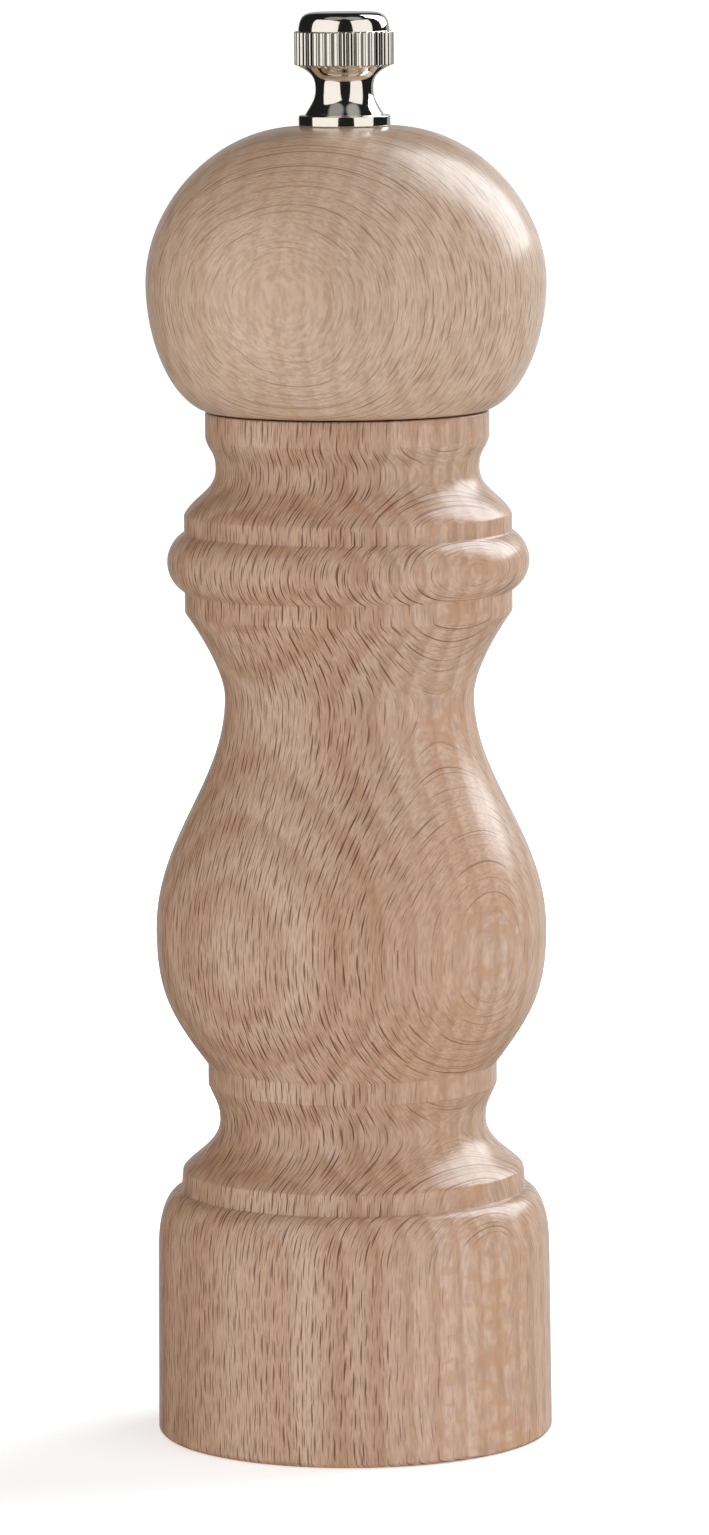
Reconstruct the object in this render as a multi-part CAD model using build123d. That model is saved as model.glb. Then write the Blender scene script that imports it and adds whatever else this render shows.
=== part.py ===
"""A turned wooden pepper mill with a knurled adjusting knob: body, head, shaft, burrs and their fixings.

The mill stands on z = 0 with its turning axis on +Z. Lengths are millimetres, angles degrees.
The shaft is drawn at its lowest stop, which is the coarsest grind.
Outlines are (radius, height) points in the XZ plane, turned about Z.
"""

from build123d import *
import math
import os

# Driving dimensions of the whole mill
MILL_HEIGHT = 220.0
BODY_TOP = 159.0
HEAD_GAP = 0.2  # running gap between the head and the body
HEAD_TOP = 202.6
BASE_R = 30.65
BELLY_R = 30.2
WAIST_R = 19.25
COLLAR_R = 27.9
MOUTH_R = 21.85
FOOT_EDGE = 0.6
HEAD_R = 30.75

# Bores in the wood
OUTLET_R = 23.0
OUTLET_DEPTH = 7.5
HOPPER_R = 14.0
TENON_R = 13.75
TENON_LENGTH = 9.0
HEAD_BORE_R = 4.4
HEAD_BORE_TOP = 197.2
STUD_HOLE_R = 2.9

# Square shaft and its studs
SHAFT_SIDE = 6.0
SHAFT_CHAMFER = 0.4
SHAFT_BOTTOM = 6.7
SHAFT_TOP = 195.0
KNOB_STUD_R = 2.5
KNOB_STUD_TOP = 214.6
KNOB_PITCH = 0.8
NUT_STUD_R = 2.0
NUT_STUD_BOTTOM = 3.0
NUT_PITCH = 0.7
THREAD_DEPTH = 0.3
SHAFT_CORNER_R = math.hypot(SHAFT_SIDE / 2, SHAFT_SIDE / 2 - SHAFT_CHAMFER)

# Burrs
RING_R = 16.5
RING_SEAT_R = 16.6
RING_BOTTOM = 5.5
RING_TOP = 21.1
RING_MOUTH_R = 14.0
RING_MOUTH_Z = 17.5
RING_THROAT_R = 10.8
RING_THROAT_Z = 11.0
RING_SKIRT_R = 13.2
FLANGE_R = 21.5
CONE_BOTTOM = 4.1
CONE_SKIRT_R = 12.98
CONE_EDGE_R = 10.66
CONE_EDGE_Z = 9.4
CONE_TOP_R = 5.9
CONE_TOP = 15.9
NUT_POCKET_R = 5.2
NUT_POCKET_TOP = 6.5
FINE_TEETH = 36
RING_FLUTES = 12
CONE_FLUTES = 8

# Bridge over the burrs, and what turns in it
STRIP_THICK = 1.6
STRIP_WIDTH = 9.0
BRIDGE_LEG_X = 12.8  # outside of each leg
BRIDGE_TOP = 32.1
BRIDGE_FOOT_X = 16.3
BRIDGE_EYE_R = 8.2  # widened round the bush
BUSH_R = 5.15
BUSH_HOLE_R = 5.2
BUSH_FLANGE_R = 6.6
BUSH_FLANGE = 1.0
SMALL_GAP = 0.1
CLIP_THICK = 0.8
CLIP_GROOVE_R = 3.3
THRUST_R = 6.8
THRUST_THICK = 1.0
SPRING_R = 5.05  # to the wire's centre
SPRING_WIRE = 0.9
SPRING_TURNS = 5.5

# Plate that drives the shaft from the head
PLATE_R = 11.5
PLATE_THICK = 1.2
PLATE_HOLE = 6.25
PLATE_SCREW_Y = 8.0

# Ring screws
RING_SCREW_Y = 18.8

# Knob
KNOB_FLANGE_R = 7.05
KNOB_FLANGE_TOP = 204.3
KNOB_NECK_R = 4.45
KNOB_NECK_Z = 208.3
KNURL_R = 7.6
KNURL_BOTTOM = 211.9
KNURL_TOP = 217.1
KNURL_COUNT = 40
KNURL_DEPTH = 0.34
KNURL_GROOVE = 0.7  # half-width of the V at twice its depth
BUTTON_R = 7.0
BUTTON_FOOT = 217.4
KNOB_BORE_R = 2.6
KNOB_BORE_TOP = 216.8


def line(start, *more):
    """Straight runs from point to point."""
    points = [start, *more]
    return [Line(a, b) for a, b in zip(points, points[1:])]


def curve(start, handle, other_handle, end):
    """One smooth cubic curve, leaving and arriving along its handles."""
    return [Bezier(start, handle, other_handle, end)]


def arc(start, middle, end):
    """A round bead through three points."""
    return [ThreePointArc(start, middle, end)]


def turned(*stretches):
    """The solid of revolution of a closed outline, given as lists of edges."""
    edges = [edge for stretch in stretches for edge in stretch]
    return revolve(Plane.XZ * make_face(edges), Axis.Z)


def rod(radius, bottom, top, x=0.0, y=0.0):
    """An upright cylinder between two heights."""
    return Pos(x, y, bottom) * Cylinder(
        radius, top - bottom, align=(Align.CENTER, Align.CENTER, Align.MIN)
    )


def square_rod(side, bottom, top):
    """An upright square bar between two heights."""
    return Pos(0, 0, bottom) * Box(
        side, side, top - bottom, align=(Align.CENTER, Align.CENTER, Align.MIN)
    )


def around(shape, count):
    """Copies of a shape, evenly spaced about the mill's axis."""
    return [Rot(0, 0, 360 * i / count) * shape for i in range(count)]


def body_outside():
    """The body's turned outside, from the outer edge of its foot up to its mouth."""
    drum_top = (30.4, 29.0)
    groove = (26.75, 38.2)
    lower_band = (26.45, 41.4)
    lower_neck = (20.65, 49.0)
    cuff = (22.2, 54.3)
    belly_start = (22.4, 57.9)
    belly = (BELLY_R, 78.8)
    waist = (WAIST_R, 115.0)
    collar_foot = (25.25, 128.2)
    bead_foot = (25.25, 131.4)
    bead_middle = (COLLAR_R, 135.9)
    bead_top = (25.25, 140.5)
    upper_band = (25.25, 143.2)
    upper_neck = (20.3, 150.3)
    mouth_lip = (21.7, 154.6)
    return [
        *line((BASE_R - FOOT_EDGE, 0), (BASE_R, FOOT_EDGE), drum_top),
        *curve(drum_top, (30.4, 34.2), (29.0, 37.9), groove),
        *line(groove, lower_band),
        *curve(lower_band, (25.1, 43.2), (lower_neck[0], 45.2), lower_neck),
        *curve(lower_neck, (lower_neck[0], 51.6), (21.5, 52.4), cuff),
        *line(cuff, (22.4, 54.6), belly_start),
        *curve(belly_start, (28.3, 65.8), (BELLY_R, 69.3), belly),
        *curve(belly, (BELLY_R, 93.4), (WAIST_R, 101.6), waist),
        *curve(waist, (WAIST_R, 118.6), (22.5, 124.3), collar_foot),
        *line(collar_foot, bead_foot),
        *arc(bead_foot, bead_middle, bead_top),
        *line(bead_top, upper_band),
        *curve(upper_band, (23.7, 146.1), (upper_neck[0], 146.8), upper_neck),
        *curve(upper_neck, (upper_neck[0], 152.9), (21.3, 153.1), mouth_lip),
        *line(mouth_lip, (MOUTH_R, 155.0), (MOUTH_R, BODY_TOP)),
    ]


def make_body():
    """The wooden body, bored for the hopper, the ring's seat and the outlet."""
    chamfer = 0.8
    inside = line(
        (MOUTH_R, BODY_TOP),
        (HOPPER_R + chamfer, BODY_TOP),
        (HOPPER_R, BODY_TOP - chamfer),
        (HOPPER_R, RING_TOP),
        (RING_SEAT_R, RING_TOP),
        (RING_SEAT_R, OUTLET_DEPTH),
        (OUTLET_R, OUTLET_DEPTH),
        (OUTLET_R, chamfer),
        (OUTLET_R + chamfer, 0),
        (BASE_R - FOOT_EDGE, 0),
    )
    return turned(body_outside(), inside) - ring_screw_set()


def make_head():
    """The wooden head: a flattened ball on a tenon, bored for the shaft."""
    bottom = BODY_TOP + HEAD_GAP
    shoulder = (21.7, bottom)
    tenon_bottom = bottom - TENON_LENGTH
    equator = (HEAD_R, 178.8)
    crown = (KNOB_FLANGE_R + 0.05, HEAD_TOP)
    chamfer = 0.6
    outside = [
        *line((TENON_R, bottom), shoulder),
        *curve(shoulder, (26.9, 160.8), (HEAD_R, 169.6), equator),
        *curve(equator, (HEAD_R, 190.6), (20.1, HEAD_TOP), crown),
        *line(crown, (STUD_HOLE_R, HEAD_TOP)),
    ]
    inside = line(
        (STUD_HOLE_R, HEAD_TOP),
        (STUD_HOLE_R, HEAD_BORE_TOP),
        (HEAD_BORE_R, HEAD_BORE_TOP),
        (HEAD_BORE_R, tenon_bottom + PLATE_THICK),
        (PLATE_R + 0.05, tenon_bottom + PLATE_THICK),
        (PLATE_R + 0.05, tenon_bottom),
        (TENON_R - chamfer, tenon_bottom),
        (TENON_R, tenon_bottom + chamfer),
        (TENON_R, bottom),
    )
    return turned(outside, inside) - plate_screw_set()


def knurl_grooves():
    """V grooves cut straight down the knob's grip."""
    height = KNURL_TOP - KNURL_BOTTOM + 2
    section = Polygon(
        (KNURL_R - KNURL_DEPTH, 0),
        (KNURL_R + KNURL_DEPTH, -KNURL_GROOVE),
        (KNURL_R + KNURL_DEPTH, KNURL_GROOVE),
        align=None,
    )
    groove = Pos(0, 0, KNURL_BOTTOM - 1) * extrude(section, height)
    band = rod(KNURL_R + 1, KNURL_BOTTOM, KNURL_TOP)
    return [cut & band for cut in around(groove, KNURL_COUNT)]


def make_knob():
    """The plated brass knob: foot flange, waisted neck, knurled grip and domed button."""
    foot = (6.1, KNOB_FLANGE_TOP)
    neck = (KNOB_NECK_R, KNOB_NECK_Z)
    cup = (7.2, KNURL_BOTTOM)
    button_foot = (BUTTON_R, BUTTON_FOOT)
    button_top = (4.4, MILL_HEIGHT)
    edge = 0.15
    drill_point = 1.4
    outside = [
        *line(
            (KNOB_BORE_R + 0.5, HEAD_TOP),
            (KNOB_FLANGE_R - edge, HEAD_TOP),
            (KNOB_FLANGE_R, HEAD_TOP + edge),
            (KNOB_FLANGE_R, KNOB_FLANGE_TOP - edge),
            (KNOB_FLANGE_R - edge, KNOB_FLANGE_TOP),
            foot,
        ),
        *curve(foot, (5.15, 206.0), (KNOB_NECK_R, 206.6), neck),
        *curve(neck, (KNOB_NECK_R, 210.4), (5.35, 210.9), cup),
        *line(
            cup,
            (KNURL_R, KNURL_BOTTOM),
            (KNURL_R, KNURL_TOP - edge),
            (KNURL_R - edge, KNURL_TOP),
            (BUTTON_R, KNURL_TOP),
            button_foot,
        ),
        *curve(button_foot, (6.8, 219.3), (6.2, 219.95), button_top),
        *line(button_top, (0, MILL_HEIGHT)),
    ]
    inside = line(
        (0, MILL_HEIGHT),
        (0, KNOB_BORE_TOP + drill_point),
        (KNOB_BORE_R, KNOB_BORE_TOP),
        (KNOB_BORE_R, HEAD_TOP + 0.5),
        (KNOB_BORE_R + 0.5, HEAD_TOP),
    )
    return turned(outside, inside) - knurl_grooves()


def ridged(radius, bottom, top, pitch):
    """Outline points down a threaded stud, whose thread is a row of turned ridges."""
    root = radius - THREAD_DEPTH
    count = int((top - bottom - pitch) / pitch)
    points = []
    for i in range(count):
        crest = top - pitch * (i + 0.5)
        points += [(radius, crest), (root, crest - pitch / 2)]
    return points, (root, top), (root, bottom)


def make_shaft():
    """The square aluminium shaft, with a knob stud above and a nut stud below."""
    bar = square_rod(SHAFT_SIDE, SHAFT_BOTTOM, SHAFT_TOP)
    bar = chamfer(bar.edges().filter_by(Axis.Z), SHAFT_CHAMFER)
    cone = 1.2
    bar = bar & turned(
        line(
            (0, SHAFT_BOTTOM),
            (SHAFT_CORNER_R + 0.1, SHAFT_BOTTOM),
            (SHAFT_CORNER_R + 0.1, SHAFT_TOP - cone),
            (KNOB_STUD_R + 0.3, SHAFT_TOP),
            (0, SHAFT_TOP),
            (0, SHAFT_BOTTOM),
        )
    )
    groove_bottom = BRIDGE_TOP + BUSH_FLANGE + SMALL_GAP - 0.05
    collar = rod(SHAFT_SIDE, groove_bottom, groove_bottom + CLIP_THICK + 0.1)
    bar -= collar - rod(CLIP_GROOVE_R, groove_bottom - 1, groove_bottom + 3)
    return bar + stud(KNOB_STUD_R, SHAFT_TOP, KNOB_STUD_TOP, KNOB_PITCH) + stud(
        NUT_STUD_R, NUT_STUD_BOTTOM, SHAFT_BOTTOM, NUT_PITCH
    )


def stud(radius, bottom, top, pitch):
    """A threaded stud between two heights."""
    points, head, foot = ridged(radius, bottom, top, pitch)
    return turned(line((0, top), head, *points, foot, (0, bottom), (0, top)))


def wood_screw(head_r, shank_r, length):
    """A slotted countersunk wood screw, head down, with its head's face on z = 0."""
    sink = head_r - shank_r
    plain = length * 0.35
    pitch = 1.1
    tip = 1.6
    points = []
    height = plain
    while height < length - tip - pitch:
        points += [(shank_r * 0.7, height + pitch / 2), (shank_r, height + pitch)]
        height += pitch
    screw = turned(
        line(
            (0, 0),
            (head_r, 0),
            (head_r, 0.2),
            (shank_r, 0.2 + sink),
            (shank_r, plain),
            *points,
            (shank_r * 0.7, length - tip),
            (0, length),
            (0, 0),
        )
    )
    return screw - Box(head_r * 3, 0.6, 1.2)


def screw_hole(head_r, shank_r, length):
    """The room that a wood screw fills, without its slot or its thread."""
    sink = head_r - shank_r
    return turned(
        line(
            (0, -0.5),
            (head_r + 0.05, -0.5),
            (head_r + 0.05, 0.25),
            (shank_r + 0.05, 0.25 + sink),
            (shank_r + 0.05, length - 1.4),
            (0, length + 0.3),
            (0, -0.5),
        )
    )


def both_sides(shape, y, z):
    """The shape at +y and at -y, at one height."""
    return [Pos(0, side * y, z) * shape for side in (1, -1)]


PLATE_SCREW = dict(head_r=1.9, shank_r=0.95, length=9.0)
RING_SCREW = dict(head_r=2.3, shank_r=1.3, length=13.0)
PLATE_SCREW_Z = BODY_TOP + HEAD_GAP - TENON_LENGTH


def plate_screw_set():
    """Holes for the two screws of the drive plate."""
    return both_sides(screw_hole(**PLATE_SCREW), PLATE_SCREW_Y, PLATE_SCREW_Z)


def ring_screw_set():
    """Holes for the two screws of the burr ring."""
    return both_sides(screw_hole(**RING_SCREW), RING_SCREW_Y, RING_BOTTOM)


def make_drive_plate():
    """The steel plate let into the tenon, whose square hole turns the shaft."""
    plate = rod(PLATE_R, PLATE_SCREW_Z, PLATE_SCREW_Z + PLATE_THICK)
    plate -= square_rod(PLATE_HOLE, PLATE_SCREW_Z - 1, PLATE_SCREW_Z + 3)
    return plate - plate_screw_set()


def skewed(inner, outer, angle, section):
    """A cutter laid along a cone between two (radius, height) points, slanted by an angle."""
    along = Vector(outer[0] - inner[0], 0, outer[1] - inner[1])
    length = along.length
    along = along.normalized()
    across = Vector(0, 1, 0)
    way = along * math.cos(math.radians(angle)) + across * math.sin(math.radians(angle))
    middle = Vector((inner[0] + outer[0]) / 2, 0, (inner[1] + outer[1]) / 2)
    normal = along.cross(across)
    plane = Plane(origin=middle, x_dir=normal, z_dir=way)
    reach = length * 0.75
    return extrude(plane * section, reach, both=True)


def make_ring():
    """The fixed burr: a flanged steel ring with flutes above its throat and fine teeth below."""
    ring = turned(
        line(
            (RING_SKIRT_R, RING_BOTTOM),
            (FLANGE_R, RING_BOTTOM),
            (FLANGE_R, OUTLET_DEPTH),
            (RING_R, OUTLET_DEPTH),
            (RING_R, RING_TOP),
            (RING_MOUTH_R, RING_TOP),
            (RING_MOUTH_R, RING_MOUTH_Z),
            (RING_THROAT_R, RING_THROAT_Z),
            (RING_SKIRT_R, RING_BOTTOM),
        )
    )
    throat = (RING_THROAT_R, RING_THROAT_Z)
    tooth = skewed((RING_SKIRT_R, RING_BOTTOM), throat, 18, Rectangle(0.9, 0.9, rotation=45))
    flute = skewed(throat, (RING_MOUTH_R, RING_MOUTH_Z), -14, Circle(1.35))
    flute &= rod(RING_MOUTH_R + 1.5, RING_THROAT_Z - 1, RING_MOUTH_Z + 1.5)
    tooth &= rod(RING_R, RING_BOTTOM - 1, RING_THROAT_Z + 1)
    ring = ring - around(tooth, FINE_TEETH) - around(flute, RING_FLUTES)
    notch = Pos(0, 0, RING_TOP) * Box(2 * RING_R + 2, STRIP_WIDTH + 0.2, 2 * STRIP_THICK)
    return ring - notch - ring_screw_set()


def make_cone():
    """The turning burr: a steel cone with spiral flutes above and fine teeth on its skirt."""
    cone = turned(
        line(
            (0, CONE_BOTTOM),
            (CONE_SKIRT_R, CONE_BOTTOM),
            (CONE_EDGE_R, CONE_EDGE_Z),
            (CONE_TOP_R, CONE_TOP),
            (0, CONE_TOP),
            (0, CONE_BOTTOM),
        )
    )
    edge = (CONE_EDGE_R, CONE_EDGE_Z)
    tooth = skewed((CONE_SKIRT_R, CONE_BOTTOM), edge, -18, Rectangle(0.9, 0.9, rotation=45))
    flute = skewed(edge, (CONE_TOP_R + 0.6, CONE_TOP + 0.6), 32, Circle(1.5))
    tooth &= rod(RING_R, CONE_BOTTOM - 1, CONE_EDGE_Z + 1.2)
    cone = cone - around(tooth, FINE_TEETH - 2) - around(flute, CONE_FLUTES)
    cone -= square_rod(SHAFT_SIDE + 0.1, CONE_BOTTOM - 1, CONE_TOP + 1)
    return cone - rod(NUT_POCKET_R, CONE_BOTTOM - 1, NUT_POCKET_TOP)


def make_washer():
    """The washer between the cone and its nut."""
    bottom = NUT_POCKET_TOP - 0.8
    return rod(4.5, bottom, NUT_POCKET_TOP) - rod(2.15, bottom - 1, NUT_POCKET_TOP + 1)


def make_nut():
    """The thin hexagon nut that holds the cone on the shaft."""
    across_flats = 7.0
    thick = 2.2
    bottom = NUT_POCKET_TOP - 0.8 - thick
    corner_r = across_flats / math.sqrt(3)
    prism = Pos(0, 0, bottom) * extrude(RegularPolygon(corner_r, 6), thick)
    bevel = 0.35
    rounding = turned(
        line(
            (0, bottom),
            (corner_r - bevel, bottom),
            (corner_r, bottom + bevel / 2),
            (corner_r, bottom + thick - bevel / 2),
            (corner_r - bevel, bottom + thick),
            (0, bottom + thick),
            (0, bottom),
        )
    )
    return (prism & rounding) - rod(NUT_STUD_R + 0.05, bottom - 1, bottom + thick + 1)


def make_bridge():
    """The bent steel strip that stands on the ring's rim and carries the shaft's bush."""
    leg_in = BRIDGE_LEG_X - STRIP_THICK
    foot = RING_TOP - STRIP_THICK
    half = [
        (0, BRIDGE_TOP),
        (BRIDGE_LEG_X - 0.8, BRIDGE_TOP),
        (BRIDGE_LEG_X, BRIDGE_TOP - 0.8),
        (BRIDGE_LEG_X, RING_TOP),
        (BRIDGE_FOOT_X, RING_TOP),
        (BRIDGE_FOOT_X, foot),
        (leg_in, foot),
        (leg_in, BRIDGE_TOP - STRIP_THICK),
        (0, BRIDGE_TOP - STRIP_THICK),
    ]
    outline = half + [(-x, z) for x, z in reversed(half[1:-1])]
    strip = extrude(Plane.XZ * Polygon(*outline, align=None), STRIP_WIDTH / 2, both=True)
    strip &= rod(RING_R - 0.1, foot, BRIDGE_TOP)
    eye = rod(BRIDGE_EYE_R, BRIDGE_TOP - STRIP_THICK, BRIDGE_TOP)
    return strip + eye - rod(BUSH_HOLE_R, BRIDGE_TOP - 5, BRIDGE_TOP + 5)


def make_bush():
    """The flanged bush in the bridge, in which the shaft's corners run."""
    inner = SHAFT_CORNER_R + 0.08
    bottom = BRIDGE_TOP - STRIP_THICK - 0.2
    flange_top = BRIDGE_TOP + BUSH_FLANGE
    return turned(
        line(
            (inner, bottom),
            (BUSH_R, bottom),
            (BUSH_R, BRIDGE_TOP),
            (BUSH_FLANGE_R, BRIDGE_TOP),
            (BUSH_FLANGE_R, flange_top - 0.2),
            (BUSH_FLANGE_R - 0.2, flange_top),
            (inner, flange_top),
            (inner, bottom),
        )
    )


def make_clip():
    """The spring-steel clip in the shaft's groove, which rests on the bush at the lowest stop."""
    bottom = BRIDGE_TOP + BUSH_FLANGE + SMALL_GAP
    top = bottom + CLIP_THICK
    outer_r = 6.2
    inner_r = 4.7
    ring = rod(outer_r, bottom, top) - rod(inner_r, bottom - 1, top + 1)
    prong = Pos(0, 3.9, (bottom + top) / 2) * Box(2.2, 2.4, CLIP_THICK)
    prongs = [Rot(0, 0, turn) * prong for turn in (0, 90, -90)]
    clip = (ring + prongs) - rod(CLIP_GROOVE_R + 0.02, bottom - 1, top + 1)
    return clip - Pos(0, -5, bottom) * Box(5.0, 6.0, 3)


def make_thrust_washer():
    """The square-holed washer that turns with the shaft and takes the spring's thrust."""
    top = BRIDGE_TOP - STRIP_THICK - 0.2 - SMALL_GAP
    bottom = top - THRUST_THICK
    return rod(THRUST_R, bottom, top) - square_rod(SHAFT_SIDE + 0.15, bottom - 1, top + 1)


def make_spring():
    """The compression spring with ground ends that pushes the cone down, away from the ring."""
    gap = 0.05
    top = BRIDGE_TOP - STRIP_THICK - 0.2 - SMALL_GAP - THRUST_THICK - gap
    bottom = CONE_TOP + gap
    wire_r = SPRING_WIRE / 2
    height = top - bottom
    helix = Pos(0, 0, bottom) * Helix(height / SPRING_TURNS, height, SPRING_R)
    section = Plane(origin=helix @ 0, z_dir=helix % 0) * Circle(wire_r)
    coil = sweep(section, path=helix, is_frenet=True)
    return coil & rod(SPRING_R + 2 * wire_r, bottom, top)


def make_plate_screws():
    """The two screws that hold the drive plate on the tenon."""
    return Compound(both_sides(wood_screw(**PLATE_SCREW), PLATE_SCREW_Y, PLATE_SCREW_Z))


def make_ring_screws():
    """The two screws that hold the burr ring in the body."""
    return Compound(both_sides(wood_screw(**RING_SCREW), RING_SCREW_Y, RING_BOTTOM))


PARTS = {
    "body": make_body,
    "head": make_head,
    "adjusting_knob": make_knob,
    "drive_plate": make_drive_plate,
    "drive_plate_screws": make_plate_screws,
    "shaft": make_shaft,
    "shaft_clip": make_clip,
    "bridge": make_bridge,
    "bridge_bush": make_bush,
    "thrust_washer": make_thrust_washer,
    "spring": make_spring,
    "burr_ring": make_ring,
    "ring_screws": make_ring_screws,
    "burr_cone": make_cone,
    "cone_washer": make_washer,
    "cone_nut": make_nut,
}

os.makedirs("parts", exist_ok=True)
for node, make in PARTS.items():
    export_step(make(), f"parts/{node}.step")
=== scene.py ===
"""The pepper mill's looks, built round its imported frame.

Heights and radii are millimetres until a mesh is made. Places in a material's nodes are metres.
"""
import math

import bpy
from mathutils import Matrix, Vector


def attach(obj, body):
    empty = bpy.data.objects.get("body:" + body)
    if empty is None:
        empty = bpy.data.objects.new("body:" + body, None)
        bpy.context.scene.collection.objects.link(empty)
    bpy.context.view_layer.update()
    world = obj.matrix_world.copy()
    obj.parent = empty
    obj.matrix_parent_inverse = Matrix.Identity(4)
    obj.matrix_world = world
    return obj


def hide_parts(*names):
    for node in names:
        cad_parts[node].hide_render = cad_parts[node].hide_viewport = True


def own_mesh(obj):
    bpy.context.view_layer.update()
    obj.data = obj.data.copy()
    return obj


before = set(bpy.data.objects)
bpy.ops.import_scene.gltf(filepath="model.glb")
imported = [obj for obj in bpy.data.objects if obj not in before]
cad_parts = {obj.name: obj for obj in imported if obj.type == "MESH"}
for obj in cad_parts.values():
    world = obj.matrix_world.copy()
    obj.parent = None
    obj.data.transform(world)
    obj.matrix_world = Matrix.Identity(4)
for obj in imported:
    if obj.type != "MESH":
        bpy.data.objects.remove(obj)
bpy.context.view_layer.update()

MM = 0.001
TURN = 2 * math.pi

# The whole mill
MILL_HEIGHT = 220.0
BODY_TOP = 159.0
HEAD_BOTTOM = 159.2
HEAD_TOP = 202.6
BASE_R = 30.65
BELLY_R = 30.2
WAIST_R = 19.25
COLLAR_R = 27.9
HEAD_R = 30.75
EDGE = 0.3  # how far the turned wooden edges are worn round

# The knob's grip
RIDGES = 40
KNURL_R = 7.6
KNURL_BOTTOM = 211.9
KNURL_TOP = 217.1
KNURL_DEPTH = 0.38
KNURL_GROOVE_SHARE = 0.56  # a groove's width over the spacing of the ridges
KNURL_INNER_R = 7.15  # the knurl is cut only outside this radius

# The knob's threaded bore
KNOB_BORE_R = 2.6
KNOB_MOUTH_R = 3.1

# The square shaft with its two threaded studs
SHAFT_SIDE = 6.0
SHAFT_CORNER_R = 3.97
SHAFT_BOTTOM = 6.7
SHAFT_TOP = 195.0
NUT_STUD = dict(radius=2.0, depth=0.43, pitch=0.7, low=3.0, high=SHAFT_BOTTOM)
KNOB_STUD = dict(radius=2.5, depth=0.49, pitch=0.8, low=SHAFT_TOP, high=214.6)
CLIP_GROOVE = dict(radius=3.3, low=33.15, high=34.05)

# The spring, from the cone up to the thrust washer
SPRING_R = 5.05
SPRING_WIRE_R = 0.45
SPRING_BOTTOM = 15.95
SPRING_TOP = 29.15
SPRING_TURNS = 5.5

# The wood: which way its rays face, from straight ahead towards the right, in degrees, and how far off the
# middle of the tree was
BODY_RAY_AZIMUTH = 50
HEAD_RAY_AZIMUTH = -12
PITH_DISTANCE = 240.0


# ---------------------------------------------------------------- outlines

def line(*points):
    """Straight runs from point to point."""
    return [tuple(p) for p in points]


def curve(start, handle, other_handle, end, steps=18):
    """One smooth cubic curve, leaving and arriving along its handles."""
    points = []
    for i in range(steps + 1):
        t = i / steps
        weights = ((1 - t) ** 3, 3 * t * (1 - t) ** 2, 3 * t * t * (1 - t), t ** 3)
        points.append(tuple(
            sum(w * p[k] for w, p in zip(weights, (start, handle, other_handle, end))) for k in (0, 1)
        ))
    return points


def bead(foot, middle_r, top, steps=18):
    """A half-round bead that stands out to middle_r between two points of equal radius."""
    half = (top[1] - foot[1]) / 2
    rise = middle_r - foot[0]
    radius = (half * half + rise * rise) / (2 * rise)
    sweep = math.asin(min(1.0, half / radius))
    centre = (middle_r - radius, (foot[1] + top[1]) / 2)
    points = []
    for i in range(steps + 1):
        angle = sweep * (2 * i / steps - 1)
        points.append((centre[0] + radius * math.cos(angle), centre[1] + radius * math.sin(angle)))
    return points


def joined(*stretches):
    """One list of points from several stretches that share their ends."""
    points = []
    for stretch in stretches:
        for point in stretch:
            if not points or math.dist(point, points[-1]) > 1e-6:
                points.append(point)
    return points


def rounded(points, radius, closed=True, sharpest=14):
    """The outline with each corner sharper than so many degrees rounded off."""
    result = []
    count = len(points)
    for i, here in enumerate(points):
        if not closed and i in (0, count - 1):
            result.append(here)
            continue
        before, after = points[i - 1], points[(i + 1) % count]
        a, b = math.dist(before, here), math.dist(here, after)
        way_in = ((here[0] - before[0]) / a, (here[1] - before[1]) / a)
        way_out = ((after[0] - here[0]) / b, (after[1] - here[1]) / b)
        cosine = way_in[0] * way_out[0] + way_in[1] * way_out[1]
        turn = math.degrees(math.acos(max(-1.0, min(1.0, cosine))))
        if turn < sharpest:
            result.append(here)
            continue
        cut = min(radius, 0.45 * a, 0.45 * b)
        start = (here[0] - way_in[0] * cut, here[1] - way_in[1] * cut)
        end = (here[0] + way_out[0] * cut, here[1] + way_out[1] * cut)
        for t in (0, 0.25, 0.5, 0.75, 1):
            weights = ((1 - t) ** 2, 2 * t * (1 - t), t * t)
            result.append(tuple(
                sum(w * p[k] for w, p in zip(weights, (start, here, end))) for k in (0, 1)
            ))
    return result


def spaced(points, longest, closed=True):
    """The outline with its long runs divided, so that no run is longer than so much."""
    result = []
    count = len(points)
    for i in range(count if closed else count - 1):
        a, b = points[i], points[(i + 1) % count]
        parts = max(1, math.ceil(math.dist(a, b) / longest))
        for k in range(parts):
            t = k / parts
            result.append((a[0] + (b[0] - a[0]) * t, a[1] + (b[1] - a[1]) * t))
    if not closed:
        result.append(points[-1])
    return result


# ---------------------------------------------------------------- meshes

def mesh_object(name, vertices, faces):
    """A smooth-shaded mesh object from points in millimetres."""
    mesh = bpy.data.meshes.new(name)
    mesh.from_pydata([tuple(c * MM for c in v) for v in vertices], [], faces)
    mesh.validate()
    mesh.polygons.foreach_set("use_smooth", [True] * len(mesh.polygons))
    piece = bpy.data.objects.new(name, mesh)
    bpy.context.scene.collection.objects.link(piece)
    return piece


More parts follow.
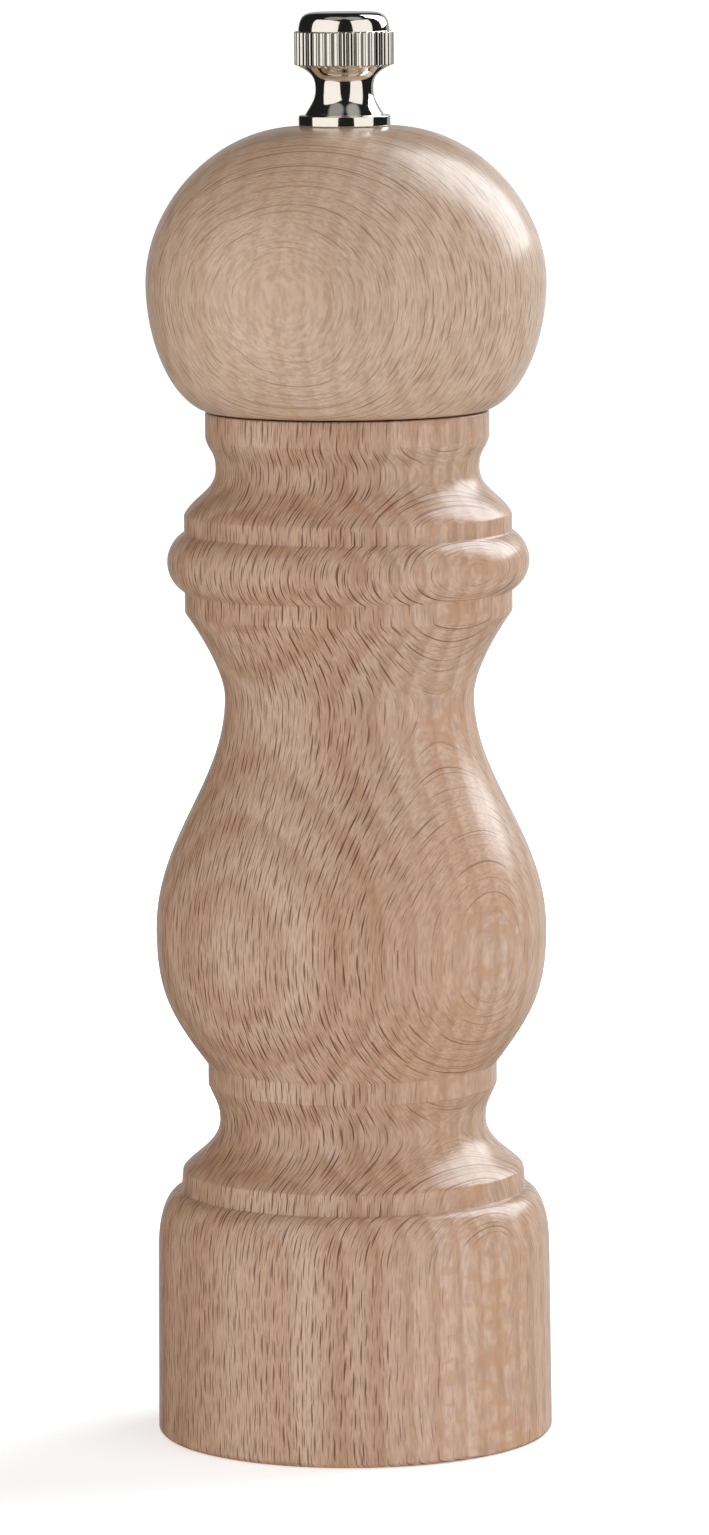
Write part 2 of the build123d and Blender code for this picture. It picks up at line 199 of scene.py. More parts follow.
def turned(name, outline, steps, shape=None, closed=True):
    """A turned piece. shape(radius, height, angle) may change the radius, as a knurl or a thread does.

    An open outline starts and ends on the axis, and is closed there by fans.
    """
    vertices, faces = [], []
    rings = []
    for radius, height in outline:
        if radius < 1e-6:
            rings.append([len(vertices)])
            vertices.append((0, 0, height))
            continue
        ring = []
        for k in range(steps):
            angle = TURN * k / steps
            r = shape(radius, height, angle) if shape else radius
            ring.append(len(vertices))
            vertices.append((r * math.cos(angle), r * math.sin(angle), height))
        rings.append(ring)
    pairs = list(zip(rings, rings[1:] + rings[:1] if closed else rings[1:]))
    for low, high in pairs:
        for k in range(steps):
            n = (k + 1) % steps
            if len(low) == 1 and len(high) == 1:
                break
            if len(low) == 1:
                faces.append((low[0], high[n], high[k]))
            elif len(high) == 1:
                faces.append((low[k], low[n], high[0]))
            else:
                faces.append((low[k], low[n], high[n], high[k]))
    return mesh_object(name, vertices, faces)


# ---------------------------------------------------------------- materials

class Shader:
    """A material with short calls for the nodes that its colour and bump are made of."""

    def __init__(self, name):
        self.material = bpy.data.materials.new(name)
        self.material.use_nodes = True
        self.tree = self.material.node_tree
        self.surface = self.tree.nodes["Principled BSDF"]

    def node(self, kind, settings=None, **inputs):
        made = self.tree.nodes.new(kind)
        for key, value in (settings or {}).items():
            setattr(made, key, value)
        for key, value in inputs.items():
            self.put(made.inputs[key.replace("_", " ")], value)
        return made

    def place(self):
        """The coordinates of a point of the piece, in metres."""
        where = self.node("ShaderNodeTexCoord")
        return self.node("ShaderNodeSeparateXYZ", Vector=where.outputs["Object"]).outputs

    def put(self, socket, value):
        if isinstance(value, bpy.types.NodeSocket):
            self.tree.links.new(value, socket)
        else:
            socket.default_value = value

    def math(self, operation, *values):
        made = self.tree.nodes.new("ShaderNodeMath")
        made.operation = operation
        for socket, value in zip(made.inputs, values):
            self.put(socket, value)
        return made.outputs[0]

    def ramp(self, value, low, high, to_low=0.0, to_high=1.0):
        """value from low..high to to_low..to_high, smoothly, and held at the ends."""
        made = self.node("ShaderNodeMapRange", {"interpolation_type": "SMOOTHSTEP"})
        for socket, number in zip(made.inputs, (value, low, high, to_low, to_high)):
            self.put(socket, number)
        return made.outputs[0]

    def combine(self, x, y, z):
        return self.node("ShaderNodeCombineXYZ", X=x, Y=y, Z=z).outputs[0]

    def scaled(self, x, x_scale, y, y_scale, z, z_scale):
        """A point with each coordinate scaled by itself, for stretching a noise."""
        pairs = ((x, x_scale), (y, y_scale), (z, z_scale))
        return self.combine(*(self.math("MULTIPLY", value, scale) for value, scale in pairs))

    def length(self, x, y):
        return self.math("SQRT", self.math("ADD", self.math("MULTIPLY", x, x), self.math("MULTIPLY", y, y)))

    def noise(self, vector, detail=2.0, roughness=0.5):
        made = self.node("ShaderNodeTexNoise", {"noise_dimensions": "3D"}, Vector=vector)
        made.inputs["Scale"].default_value = 1.0
        made.inputs["Detail"].default_value = detail
        made.inputs["Roughness"].default_value = roughness
        return made.outputs[0]

    def mix(self, factor, a, b, how="MIX"):
        made = self.node("ShaderNodeMix", {"data_type": "RGBA", "blend_type": how})
        self.put(made.inputs[0], factor)
        self.put(made.inputs[6], a)
        self.put(made.inputs[7], b)
        return made.outputs[2]

    def set(self, **values):
        for key, value in values.items():
            self.put(self.surface.inputs[key.replace("_", " ")], value)

    def bump(self, height, strength, distance_mm):
        made = self.node("ShaderNodeBump", Strength=strength, Distance=distance_mm * MM, Height=height)
        self.put(self.surface.inputs["Normal"], made.outputs[0])


def colour(r, g, b):
    return (r, g, b, 1.0)


def tinted(base, r, g, b):
    """The base colour with its red, green and blue each turned down."""
    return colour(base[0] * r, base[1] * g, base[2] * b)


def flecks(shader, across, up, slope, cell, half_size, share):
    """Lens-shaped ray flecks: how much of one is at a point, from 0 to 1.

    They stand in columns, staggered from one to the next. cell is their spacing across and up, half_size
    the half-width and half-height of the largest, both in millimetres, and share is how many of the cells
    hold one. slope is how steeply the surface cuts the rays: it keeps a fleck's width where the cut is
    shallow.
    """
    u = shader.math("DIVIDE", across, cell[0] * MM)
    column = shader.math("FLOOR", u)
    stagger = shader.node("ShaderNodeTexWhiteNoise", {"noise_dimensions": "1D"}, W=column)
    v = shader.math("ADD", shader.math("DIVIDE", up, cell[1] * MM), stagger.outputs["Value"])
    cells = shader.node(
        "ShaderNodeTexVoronoi", {"voronoi_dimensions": "2D"}, Vector=shader.combine(u, v, 0)
    )
    cells.inputs["Scale"].default_value = 1.0
    cells.inputs["Randomness"].default_value = 0.72
    centre = shader.node("ShaderNodeSeparateXYZ", Vector=cells.outputs["Position"])
    chance = shader.node("ShaderNodeSeparateColor", Color=cells.outputs["Color"])
    size = shader.math("MULTIPLY_ADD", chance.outputs[1], 0.45, 0.55)
    aside = shader.math("MULTIPLY", shader.math("SUBTRACT", u, centre.outputs[0]), cell[0] / half_size[0])
    aside = shader.math("DIVIDE", shader.math("ABSOLUTE", aside), slope)
    above = shader.math("MULTIPLY", shader.math("SUBTRACT", v, centre.outputs[1]), cell[1] / half_size[1])
    away = shader.math("ADD", aside, shader.math("MULTIPLY", above, above))
    inside = shader.math("SUBTRACT", 1.0, shader.math("DIVIDE", away, size))
    wanted = shader.math("LESS_THAN", chance.outputs[0], share)
    return shader.math("MULTIPLY", wanted, shader.ramp(inside, 0.0, 0.2))


def beech(name, ray_azimuth, base, fleck, fleck_depth, ring_depth, ochre_depth, seed=0.0):
    """Lacquered beech: fine upright fibres, growth rings and dark rays, which lie in sheets through the wood.

    The sheets run along the grain and out from the pith. Where the turned surface cuts across them they show
    as short dark dashes, and where it lies along them as ovals and ochre flakes.
    """
    s = Shader(name)
    place = s.node("ShaderNodeTexCoord")
    to_grain = (0, 0, math.radians(90 - ray_azimuth))
    pith = (0, PITH_DISTANCE * MM, seed)
    from_pith = s.node(
        "ShaderNodeMapping", Vector=place.outputs["Object"], Rotation=to_grain, Location=pith
    )
    x, y, z = s.node("ShaderNodeSeparateXYZ", Vector=from_pith.outputs[0]).outputs
    sway = s.math("SUBTRACT", s.noise(s.scaled(x, 30, y, 30, z, 9), 1.0), 0.5)
    wobble = s.math("SUBTRACT", s.noise(s.scaled(x, 200, y, 60, z, 90), 1.0), 0.5)
    shift = s.math("ADD", s.math("MULTIPLY", sway, 5 * MM), s.math("MULTIPLY", wobble, 0.6 * MM))
    across = s.math("ADD", s.math("MULTIPLY", s.math("ARCTAN2", x, y), PITH_DISTANCE * MM), shift)
    distance = s.length(x, y)
    out = s.math("ADD", distance, s.math("MULTIPLY", sway, 7 * MM))

    normal = s.node(
        "ShaderNodeMapping", {"vector_type": "VECTOR"}, Vector=place.outputs["Normal"], Rotation=to_grain
    )
    nx, ny, _ = s.node("ShaderNodeSeparateXYZ", Vector=normal.outputs[0]).outputs
    side_on = s.math("SUBTRACT", s.math("MULTIPLY", nx, y), s.math("MULTIPLY", ny, x))
    side_on = s.math("ABSOLUTE", s.math("DIVIDE", side_on, distance))
    facing = s.ramp(side_on, 0.66, 0.98)
    slope = s.math("SQRT", s.math("SUBTRACT", 1.001, s.math("MULTIPLY", side_on, side_on)))
    slope = s.math("MAXIMUM", slope, 0.22)

    large = flecks(s, across, z, slope, (1.25, 5.0), (0.155, 2.3), 0.92)
    middle = flecks(s, s.math("ADD", across, 3.3 * MM), z, slope, (0.75, 3.5), (0.12, 1.6), 0.9)
    small = flecks(s, s.math("ADD", across, 7.7 * MM), z, slope, (0.42, 2.2), (0.085, 1.0), 0.9)
    middle = s.math("MULTIPLY", middle, 0.7)
    small = s.math("MULTIPLY", small, 0.4)
    ray = s.math("MAXIMUM", large, s.math("MAXIMUM", middle, small))

    fibre = s.noise(s.scaled(across, 5500, out, 900, z, 330), 2.0, 0.6)
    broad = s.noise(s.scaled(across, 60, out, 45, z, 14), 3.0, 0.55)
    rings = s.math("FRACT", s.math("DIVIDE", out, 4.1 * MM))
    late = s.math("MULTIPLY", s.ramp(rings, 0.2, 0.84), s.ramp(rings, 0.84, 1.0, 1.0, 0.0))
    flake = s.noise(s.scaled(across, 900, out, 130, z, 420), 1.5, 0.5)

    warm = tinted(base, 0.93, 0.85, 0.74)
    tone = s.mix(s.ramp(broad, 0.38, 0.66, 0.0, 0.75), colour(*base), warm)
    tone = s.mix(s.math("MULTIPLY", late, ring_depth), tone, tinted(base, 0.84, 0.72, 0.6))
    grey = s.ramp(fibre, 0.3, 0.7, 0.85, 1.12)
    tone = s.mix(1.0, tone, s.combine(grey, grey, grey), "MULTIPLY")
    ochre = s.math("MULTIPLY", s.ramp(flake, 0.5, 0.6), s.ramp(side_on, 0.88, 0.99, 0.0, ochre_depth))
    tone = s.mix(ochre, tone, tinted(base, 0.86, 0.7, 0.5))
    fade = s.math("MULTIPLY_ADD", facing, -0.4, 1.0)
    fade = s.math("MULTIPLY", fade, s.ramp(side_on, 0.965, 0.997, 1.0, 0.12))
    depth = s.math("MULTIPLY", ray, s.math("MULTIPLY", fade, fleck_depth))
    tone = s.mix(depth, tone, colour(*fleck))

    sheen = s.math("ADD", s.ramp(fibre, 0.3, 0.7, 0.31, 0.38), s.math("MULTIPLY", ray, 0.06))
    tool_marks = s.noise(s.combine(0.0, 0.0, s.math("MULTIPLY", z, 2600)), 1.0)
    height = s.math("ADD", s.math("MULTIPLY", fibre, 0.6), s.math("MULTIPLY", tool_marks, 0.25))
    height = s.math("SUBTRACT", height, s.math("MULTIPLY", ray, 0.8))
    s.set(Base_Color=tone, Roughness=sheen, IOR=1.5, Coat_Weight=0.5, Coat_Roughness=0.2)
    s.bump(height, 0.35, 0.03)
    return s.material


def nickel(name):
    """Bright nickel plate with a faint turned grain and fine scratches, and painted shade in the knurl's
    grooves.
    """
    s = Shader(name)
    x, y, z = s.place()
    fine = s.noise(s.scaled(x, 300, y, 300, z, 9000), 2.0)
    cloudy = s.noise(s.scaled(x, 400, y, 400, z, 400), 2.0)
    tone = s.mix(s.ramp(cloudy, 0.4, 0.7, 0.0, 0.5), colour(0.87, 0.83, 0.75), colour(0.82, 0.77, 0.68))
    rough = s.math("ADD", s.ramp(fine, 0.4, 0.75, 0.05, 0.10), s.ramp(cloudy, 0.5, 0.75, 0.0, 0.03))
    # Painted shade: the knurl's grooves grow darker towards their bottoms, where shade falls between the
    # ridges.
    groove_shade_by_depth = s.ramp(s.length(x, y), (KNURL_R - KNURL_DEPTH) * MM, (KNURL_R - 0.1) * MM, 1.0, 0.0)
    above = s.math("GREATER_THAN", z, (KNURL_BOTTOM + 0.05) * MM)
    below = s.math("LESS_THAN", z, (KNURL_TOP - 0.05) * MM)
    groove = s.math("MULTIPLY", groove_shade_by_depth, s.math("MULTIPLY", above, below))
    # The painted groove shade turns the plate dark brown in the grooves.
    tone = s.mix(s.math("MULTIPLY", groove, 0.85), tone, colour(0.13, 0.10, 0.08))
    s.set(Base_Color=tone, Metallic=1.0, Roughness=rough)
    s.bump(fine, 0.06, 0.01)
    return s.material


def metal(name, base, other, roughness, marks=(2500, 2500, 2500)):
    """Plain engineering metal: machining marks that run across `marks`, and patches of another tone."""
    s = Shader(name)
    x, y, z = s.place()
    fine = s.noise(s.scaled(x, marks[0], y, marks[1], z, marks[2]), 3.0, 0.6)
    patches = s.noise(s.scaled(x, 180, y, 180, z, 180), 3.0, 0.6)
    tone = s.mix(s.ramp(patches, 0.4, 0.68), colour(*base), colour(*other))
    marked = s.ramp(fine, 0.3, 0.7, roughness, roughness + 0.12)
    rough = s.math("ADD", marked, s.ramp(patches, 0.45, 0.7, 0.0, 0.06))
    s.set(Base_Color=tone, Metallic=1.0, Roughness=rough)
    s.bump(fine, 0.12, 0.02)
    return s.material


def painted(piece, material):
    """Gives the piece one material."""
    piece.data.materials.clear()
    piece.data.materials.append(material)
    return piece


def stands_for(piece, node, material, body):
    """A detailed piece that takes a CAD node's place on its body."""
    painted(piece, material)
    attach(piece, body)
    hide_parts(node)
    return piece


# ---------------------------------------------------------------- wooden pieces

def body_outline():
    """The body's outside up to its mouth, then down the bores to its foot."""
    lower_neck = 20.65
    upper_neck = 20.3
    drum_top = (30.4, 29.0)
    groove = (26.75, 38.2)
    outside = joined(
        line((BASE_R - 0.6, 0), (BASE_R, 0.6), drum_top),
        curve(drum_top, (30.4, 34.2), (29.0, 37.9), groove),
        line(groove, (26.45, 41.4)),
        curve((26.45, 41.4), (25.1, 43.2), (lower_neck, 45.2), (lower_neck, 49.0)),
        curve((lower_neck, 49.0), (lower_neck, 51.6), (21.5, 52.4), (22.2, 54.3)),
        line((22.2, 54.3), (22.4, 54.6), (22.4, 57.9)),
        curve((22.4, 57.9), (28.3, 65.8), (BELLY_R, 69.3), (BELLY_R, 78.8)),
        curve((BELLY_R, 78.8), (BELLY_R, 93.4), (WAIST_R, 101.6), (WAIST_R, 115.0), 30),
        curve((WAIST_R, 115.0), (WAIST_R, 118.6), (22.5, 124.3), (25.25, 128.2)),
        line((25.25, 128.2), (25.25, 131.4)),
        bead((25.25, 131.4), COLLAR_R, (25.25, 140.5)),
        line((25.25, 140.5), (25.25, 143.2)),
        curve((25.25, 143.2), (23.7, 146.1), (upper_neck, 146.8), (upper_neck, 150.3)),
        curve((upper_neck, 150.3), (upper_neck, 152.9), (21.3, 153.1), (21.7, 154.6)),
        line((21.7, 154.6), (21.85, 155.0), (21.85, BODY_TOP)),
    )
    hopper_r, hopper_bottom = 14.0, 21.1
    ring_seat_r = 16.6
    outlet_r, outlet_top = 23.0, 7.5
    chamfer = 0.8
    inside = line(
        (hopper_r + chamfer, BODY_TOP),
        (hopper_r, BODY_TOP - chamfer),
        (hopper_r, hopper_bottom),
        (ring_seat_r, hopper_bottom),
        (ring_seat_r, outlet_top),
        (outlet_r, outlet_top),
        (outlet_r, chamfer),
        (outlet_r + chamfer, 0),
    )
    return spaced(rounded(joined(outside, inside), EDGE), 2.0)


def head_outline():
    """The head's outside from its tenon up to the hole in its crown, then down its bore."""
    tenon_bottom = 150.2
    tenon_r, tenon_edge = 13.75, 0.6
    shoulder = (21.7, HEAD_BOTTOM)
    equator = (HEAD_R, 178.8)
    crown = (7.1, HEAD_TOP)
    outside = joined(
        line(
            (tenon_r - tenon_edge, tenon_bottom),
            (tenon_r, tenon_bottom + tenon_edge),
            (tenon_r, HEAD_BOTTOM),
            shoulder,
        ),
        curve(shoulder, (26.9, 160.8), (HEAD_R, 169.6), equator, 28),
        curve(equator, (HEAD_R, 190.6), (20.1, HEAD_TOP), crown, 40),
    )
    stud_hole_r = 2.9
    bore_r, bore_top = 4.4, 197.2
    plate_seat_r, plate_top = 11.55, 151.4
    inside = line(
        (stud_hole_r, HEAD_TOP),
        (stud_hole_r, bore_top),
        (bore_r, bore_top),
        (bore_r, plate_top),
        (plate_seat_r, plate_top),
        (plate_seat_r, tenon_bottom),
    )
    return spaced(rounded(joined(outside, inside), EDGE), 2.0)


def make_wood():
    body_wood = beech(
        "body_beech",
        BODY_RAY_AZIMUTH,
        base=(0.535, 0.352, 0.25),
        fleck=(0.15, 0.054, 0.02),
        fleck_depth=0.97,
        ring_depth=0.75,
        ochre_depth=0.55,
    )
    head_wood = beech(
        "head_beech",
        HEAD_RAY_AZIMUTH,
        base=(0.57, 0.414, 0.312),
        fleck=(0.24, 0.12, 0.068),
        fleck_depth=0.8,
        ring_depth=0.4,
        ochre_depth=0.15,
        seed=0.31,
    )
    stands_for(turned("turned_body", body_outline(), 256), "body", body_wood, "body")
    stands_for(turned("turned_head", head_outline(), 256), "head", head_wood, "head")


# ---------------------------------------------------------------- knob

def knurl(radius, height, angle):
    """Straight ridges round the grip: flat-topped, with narrow V grooves between them."""
    nearly = 0.01
    in_band = KNURL_BOTTOM - nearly <= height <= KNURL_TOP + nearly
    if radius < KNURL_INNER_R or not in_band:
        return radius
    phase = (angle * RIDGES / TURN) % 1.0
    from_groove = abs(phase - 0.5) * 2
    groove = max(0.0, 1 - from_groove / KNURL_GROOVE_SHARE)
    bluntness = 0.8
    return radius - KNURL_DEPTH * groove ** bluntness


def knob_outline():
    """The knob's outside from the mouth of its bore up to the centre of its top."""
    flange_r = 7.05
    flange_top = 204.3
    foot = (6.1, flange_top)
    neck = (4.45, 208.3)
    cup = (7.2, KNURL_BOTTOM)
    button_foot = (7.0, 217.4)
    button_top = (4.4, MILL_HEIGHT)
    outside = joined(
        line(
            (KNOB_MOUTH_R, HEAD_TOP),
            (flange_r - 0.15, HEAD_TOP),
            (flange_r, HEAD_TOP + 0.15),
            (flange_r, flange_top - 0.12),
            (flange_r - 0.13, flange_top),
            foot,
        ),
        curve(foot, (5.15, 206.0), (neck[0], 206.6), neck),
        curve(neck, (neck[0], 210.4), (5.35, 210.9), cup),
        line(
            cup,
            (KNURL_R, KNURL_BOTTOM + 0.12),
            (KNURL_R, KNURL_TOP - 0.15),
            (KNURL_R - 0.2, KNURL_TOP),
            (7.0, KNURL_TOP),
            button_foot,
        ),
        curve(button_foot, (6.8, 219.3), (6.2, 219.95), button_top),
        line(button_top, (0, MILL_HEIGHT)),
    )
    return rounded(outside, 0.08, closed=False)


def knob_bore_outline():
    """The knob's threaded bore, from its blind end down to its mouth."""
    blind_end, drill_shoulder, mouth = 218.2, 216.8, 203.1
    return line((0, blind_end), (KNOB_BORE_R, drill_shoulder), (KNOB_BORE_R, mouth), (KNOB_MOUTH_R, HEAD_TOP))


def make_knob():
    outline = joined(list(reversed(knob_outline())), list(reversed(knob_bore_outline())))
    outline = list(reversed(outline))
    piece = turned("plated_knob", spaced(outline, 0.5, closed=False), RIDGES * 10, knurl, closed=False)
    stands_for(piece, "adjusting_knob", nickel("bright_nickel"), "knob")


# ---------------------------------------------------------------- works

def in_thread(height, angle, radius, depth, pitch, low, high):
    """The radius at a point of a right-hand thread that runs out at both its ends."""
    phase = (height / pitch - angle / TURN) % 1.0
    from_crest = 1 - abs(phase - 0.5) * 2
    running = max(0.0, min(1.0, (height - low) / pitch, (high - height) / pitch))
    return radius - depth * running * min(1.0, 1.3 * from_crest)


def shaft_shape(radius, height, angle):
    """Square between the studs, and threaded on them."""
    for stud in (NUT_STUD, KNOB_STUD):
        if stud["low"] <= height <= stud["high"] and abs(radius - stud["radius"]) < 0.01:
            return in_thread(height, angle, **stud)
    if SHAFT_BOTTOM <= height <= SHAFT_TOP:
        return min(radius, SHAFT_SIDE / 2 / max(abs(math.cos(angle)), abs(math.sin(angle))))
    return radius


def threaded(radius, low, high, rings_each_turn=10, **thread):
    """Outline points up a threaded stud, close enough for its thread."""
    step = thread["pitch"] / rings_each_turn
    count = round((high - low) / step)
    return [(radius, low + (high - low) * i / count) for i in range(count + 1)]


def shaft_outline():
    """The shaft's outline from the end of its nut stud up to the end of its knob stud."""
    end = 0.5
    low, high = NUT_STUD["low"], KNOB_STUD["high"]
    nut_r, knob_r = NUT_STUD["radius"], KNOB_STUD["radius"]
    groove = CLIP_GROOVE
    return joined(
        line((0, low), (nut_r - end, low), (nut_r, low + end)),
        threaded(**dict(NUT_STUD, low=low + end)),
        line(
            (SHAFT_CORNER_R - 0.3, SHAFT_BOTTOM),
            (SHAFT_CORNER_R, SHAFT_BOTTOM + 0.3),
            (SHAFT_CORNER_R, groove["low"]),
            (groove["radius"], groove["low"]),
            (groove["radius"], groove["high"]),
            (SHAFT_CORNER_R, groove["high"]),
            (SHAFT_CORNER_R, SHAFT_TOP - 1.2),
            (knob_r + 0.3, SHAFT_TOP),
        ),
        threaded(**dict(KNOB_STUD, high=high - end)),
        line((knob_r, high - end), (knob_r - end, high), (0, high)),
    )


def make_shaft(material):
    piece = turned("square_shaft", shaft_outline(), 96, shaft_shape, closed=False)
    piece.data.set_sharp_from_angle(angle=math.radians(30))
    stands_for(piece, "shaft", material, "spindle")


def spring_height(turns):
    """The height of the wire's centre after so many turns: a closed coil, open ones, a closed one."""
    closed_rise = 2 * SPRING_WIRE_R + 0.04
    ground = SPRING_WIRE_R * 0.5
    open_turns = SPRING_TURNS - 2
    open_rise = (SPRING_TOP - SPRING_BOTTOM - 2 * ground - 2 * closed_rise) / open_turns
    in_first = min(turns, 1.0)
    in_open = max(0.0, min(turns - 1, open_turns))
    in_last = max(0.0, turns - 1 - open_turns)
    return SPRING_BOTTOM + ground + (in_first + in_last) * closed_rise + in_open * open_rise


def make_spring(material):
    """A compression spring with closed coils, ground flat at both ends."""
    steps_each_turn, sides = 48, 14
    vertices, faces = [], []
    count = round(SPRING_TURNS * steps_each_turn)
    for i in range(count + 1):
        turns = i / steps_each_turn
        angle = turns * TURN
        for k in range(sides):
            out = SPRING_R + SPRING_WIRE_R * math.cos(TURN * k / sides)
            height = spring_height(turns) + SPRING_WIRE_R * math.sin(TURN * k / sides)
            height = max(SPRING_BOTTOM, min(SPRING_TOP, height))
            vertices.append((out * math.cos(angle), out * math.sin(angle), height))
    for i in range(count):
        for k in range(sides):
            n = (k + 1) % sides
            a, b = i * sides, (i + 1) * sides
            faces.append((a + n, a + k, b + k, b + n))
    faces.append(tuple(range(sides)))
    faces.append(tuple(reversed(range(count * sides, (count + 1) * sides))))
    piece = mesh_object("coil_spring", vertices, faces)
    piece.data.set_sharp_from_angle(angle=math.radians(50))
    stands_for(piece, "spring", material, "drive")
    height = SPRING_TOP - SPRING_BOTTOM
    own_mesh(piece)


def make_works():
    """The metal works: a shaft and a spring, and materials for the pieces that keep their CAD shapes."""
    zinc = metal("zinc_plate", (0.62, 0.64, 0.66), (0.52, 0.55, 0.58), 0.24, (900, 900, 900))
    yellow = metal("yellow_zinc", (0.72, 0.58, 0.32), (0.62, 0.52, 0.36), 0.25)
    alloy = metal("drawn_alloy", (0.74, 0.75, 0.76), (0.64, 0.65, 0.67), 0.28, (5000, 5000, 60))
    spring_steel = metal("spring_steel", (0.34, 0.34, 0.35), (0.24, 0.23, 0.23), 0.28)
    brass = metal("turned_brass", (0.72, 0.52, 0.24), (0.60, 0.42, 0.19), 0.2, (200, 200, 6000))
    burr = metal("burr_steel", (0.44, 0.44, 0.45), (0.33, 0.32, 0.31), 0.32)
    looks = {
        "drive_plate": zinc,
        "bridge": zinc,
        "thrust_washer": zinc,
        "cone_washer": zinc,
        "cone_nut": zinc,
        "drive_plate_screws": yellow,
        "ring_screws": yellow,
        "shaft_clip": spring_steel,
        "bridge_bush": brass,
        "burr_ring": burr,
        "burr_cone": burr,
    }
    for node, look in looks.items():
        painted(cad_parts[node], look)
    make_shaft(alloy)
    make_spring(spring_steel)


# ---------------------------------------------------------------- stage

def way_to(azimuth, elevation):
    """The direction that points that way. Azimuth 0 is the camera's side, and it grows to its right."""
    a, e = math.radians(azimuth), math.radians(elevation)
    return Vector((math.sin(a) * math.cos(e), -math.cos(a) * math.cos(e), math.sin(e)))


def softbox(name, azimuth, elevation, size, watts, tint, reflects=True, distance=1.0, aim=0.12):
    """A soft panel, in metres, that faces the mill's axis at the height of its aim."""
    way = way_to(azimuth, elevation)
    light = bpy.data.lights.new(name, "AREA")
    light.shape = "RECTANGLE"
    light.size, light.size_y = size
    light.energy = watts
    light.color = tint
    panel = bpy.data.objects.new(name, light)
    panel.location = Vector((0, 0, aim)) + way * distance
    panel.rotation_euler = way.to_track_quat("Z", "Y").to_euler()
    panel.visible_camera = False
    panel.visible_glossy = reflects
    bpy.context.scene.collection.objects.link(panel)


def make_lights():
    warm_white = (1.0, 0.98, 0.96)
    pink_white = (1.0, 0.98, 0.98)
    cool_white = (0.88, 0.95, 1.0)
    pale_blue = (0.5, 0.8, 1.0)
    softbox("left_panel", -52, 9, (1.45, 1.75), 8.4, warm_white)
    softbox("right_panel", 50, 9, (1.0, 1.75), 5.7, pink_white)
    softbox("rear_right_panel", 128, 37, (0.58, 0.95), 7.8, cool_white)
    softbox("top_panel", -25, 72, (1.0, 1.0), 2.0, pink_white, reflects=False)
    softbox("right_edge_panel", 108, 2, (0.4, 1.6), 4.4, cool_white, reflects=False)
    softbox("left_edge_panel", -108, 2, (0.4, 1.6), 0.2, cool_white, reflects=False)
    near = dict(reflects=False, distance=0.2)
    softbox("low_right_card", 104, 0, (0.1, 0.08), 0.1, pale_blue, aim=0.035, **near)
    softbox("low_left_card", -96, 0, (0.1, 0.08), 0.03, pale_blue, aim=0.03, **near)


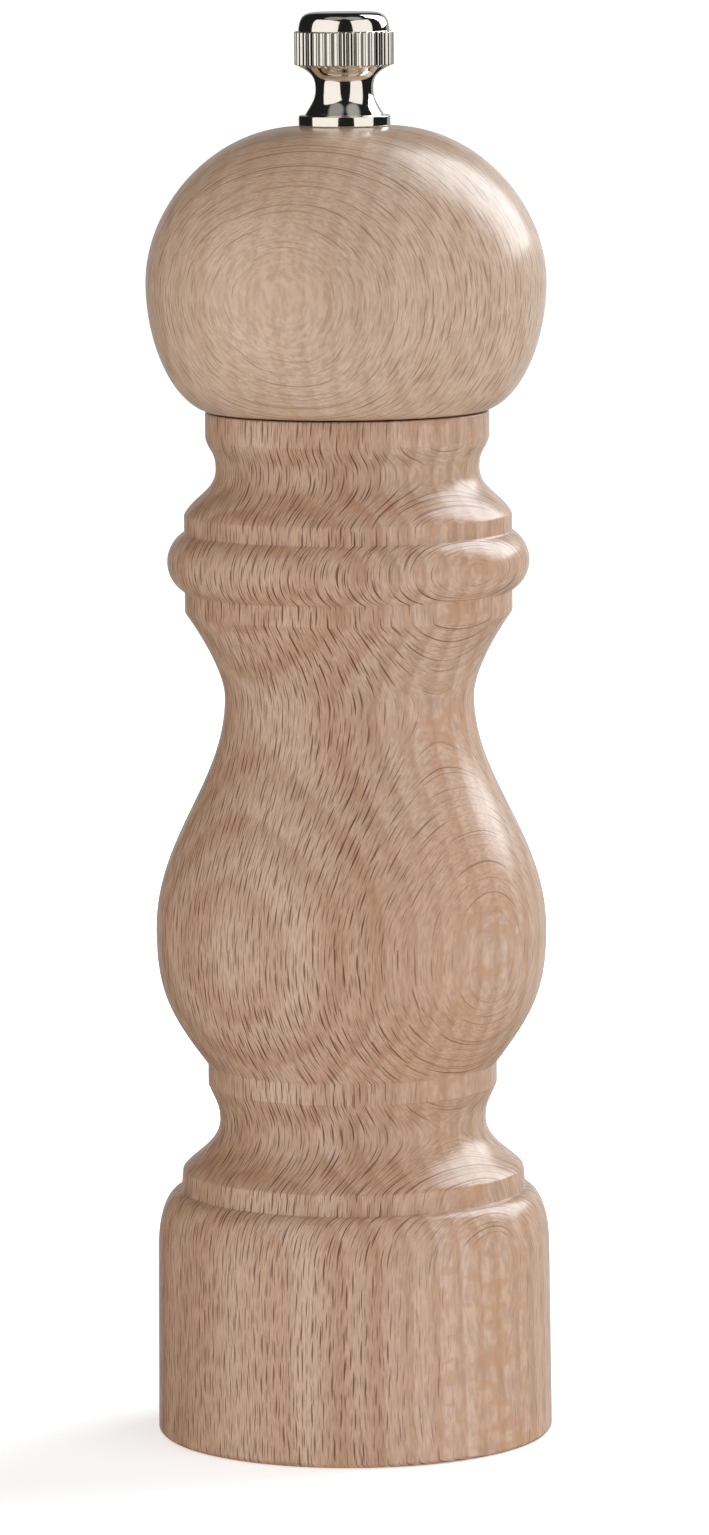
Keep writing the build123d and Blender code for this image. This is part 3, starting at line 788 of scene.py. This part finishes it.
def make_world():
    """White behind the mill. It reflects a dark studio with a pale backdrop and a dim pale ceiling."""
    world = bpy.data.worlds.new("studio")
    bpy.context.scene.world = world
    world.use_nodes = True
    nodes, links = world.node_tree.nodes, world.node_tree.links
    background = nodes["Background"]
    path = nodes.new("ShaderNodeLightPath")
    way = nodes.new("ShaderNodeTexCoord")

    def pale_patch(azimuth, elevation, wide, narrow, strength):
        """A pale patch that way, full within `narrow` degrees and gone beyond `wide`."""
        toward = nodes.new("ShaderNodeVectorMath")
        toward.operation = "DOT_PRODUCT"
        links.new(way.outputs["Generated"], toward.inputs[0])
        toward.inputs[1].default_value = way_to(azimuth, elevation)
        patch = nodes.new("ShaderNodeMapRange")
        patch.interpolation_type = "SMOOTHSTEP"
        links.new(toward.outputs["Value"], patch.inputs[0])
        limits = (math.cos(math.radians(wide)), math.cos(math.radians(narrow)), 0.0, strength)
        for socket, number in zip(patch.inputs[1:5], limits):
            socket.default_value = number
        return patch.outputs[0]

    patches = (
        pale_patch(180, 0, 26, 14, 0.4),
        pale_patch(156, 0, 25, 18, 0.35),
        pale_patch(-46, 66, 22, 14, 0.3),
        pale_patch(46, 66, 20, 12, 0.38),
    )
    studio = None
    for patch in patches:
        total = nodes.new("ShaderNodeMath")
        total.operation = "ADD"
        total.inputs[0].default_value = 0.015
        if studio:
            links.new(studio, total.inputs[0])
        links.new(patch, total.inputs[1])
        studio = total.outputs[0]
    glossy = nodes.new("ShaderNodeMix")
    links.new(path.outputs["Is Glossy Ray"], glossy.inputs[0])
    glossy.inputs[2].default_value = 0.19
    links.new(studio, glossy.inputs[3])
    seen = nodes.new("ShaderNodeMix")
    links.new(path.outputs["Is Camera Ray"], seen.inputs[0])
    links.new(glossy.outputs[0], seen.inputs[2])
    seen.inputs[3].default_value = 1.0
    links.new(seen.outputs[0], background.inputs["Strength"])
    background.inputs["Color"].default_value = colour(1, 1, 1)


def make_floor():
    """A plain white floor that glows a little near the mill and more behind it and out to its sides, as a lit
    table does: painted light.
    """
    s = Shader("white_floor")
    x, y, z = s.place()
    # Painted light: the floor's glow grows away from the mill, where the lamps' light falls off.
    aside = s.math("MULTIPLY_ADD", s.math("ABSOLUTE", x), 0.5, -0.1)
    glow = s.ramp(s.math("MAXIMUM", y, aside), 0.03, 0.45, 0.42, 0.95)
    white, bright = colour(0.9, 0.9, 0.9), colour(1, 1, 1)
    s.set(Base_Color=white, Roughness=0.8, Emission_Color=bright, Emission_Strength=glow)
    width, front, back, below = 5000, -450, 9000, -0.05
    corners = [(-width, front, below), (width, front, below), (width, back, below), (-width, back, below)]
    floor = mesh_object("floor", corners, [(0, 1, 2, 3)])
    painted(floor, s.material)
    floor.visible_glossy = False


def make_camera():
    """The camera stands a little above the mill's top and looks slightly down, with a long lens."""
    pitch = math.radians(7.22)
    roll = math.radians(-0.48)
    distance = 1.2002
    aim = Vector((0.00068, 0, 0.10377))
    lens_in_heights = 5.0625  # focal length over the picture's height
    level = Vector((1, 0, 0))
    steep = Vector((0, math.sin(pitch), math.cos(pitch)))
    forward = Vector((0, math.cos(pitch), -math.sin(pitch)))
    right = level * math.cos(roll) + steep * math.sin(roll)
    up = steep * math.cos(roll) - level * math.sin(roll)
    data = bpy.data.cameras.new("camera")
    data.sensor_width = 36
    data.lens = 36 * lens_in_heights
    data.clip_start, data.clip_end = 0.01, 50
    camera = bpy.data.objects.new("camera", data)
    turn = Matrix((right, up, -forward)).transposed().to_4x4()
    camera.matrix_world = Matrix.Translation(aim - forward * distance) @ turn
    bpy.context.scene.collection.objects.link(camera)
    bpy.context.scene.camera = camera
    bpy.context.scene.view_settings.view_transform = "Standard"


make_camera()
make_floor()
make_lights()
make_world()
make_wood()
make_knob()
make_works()
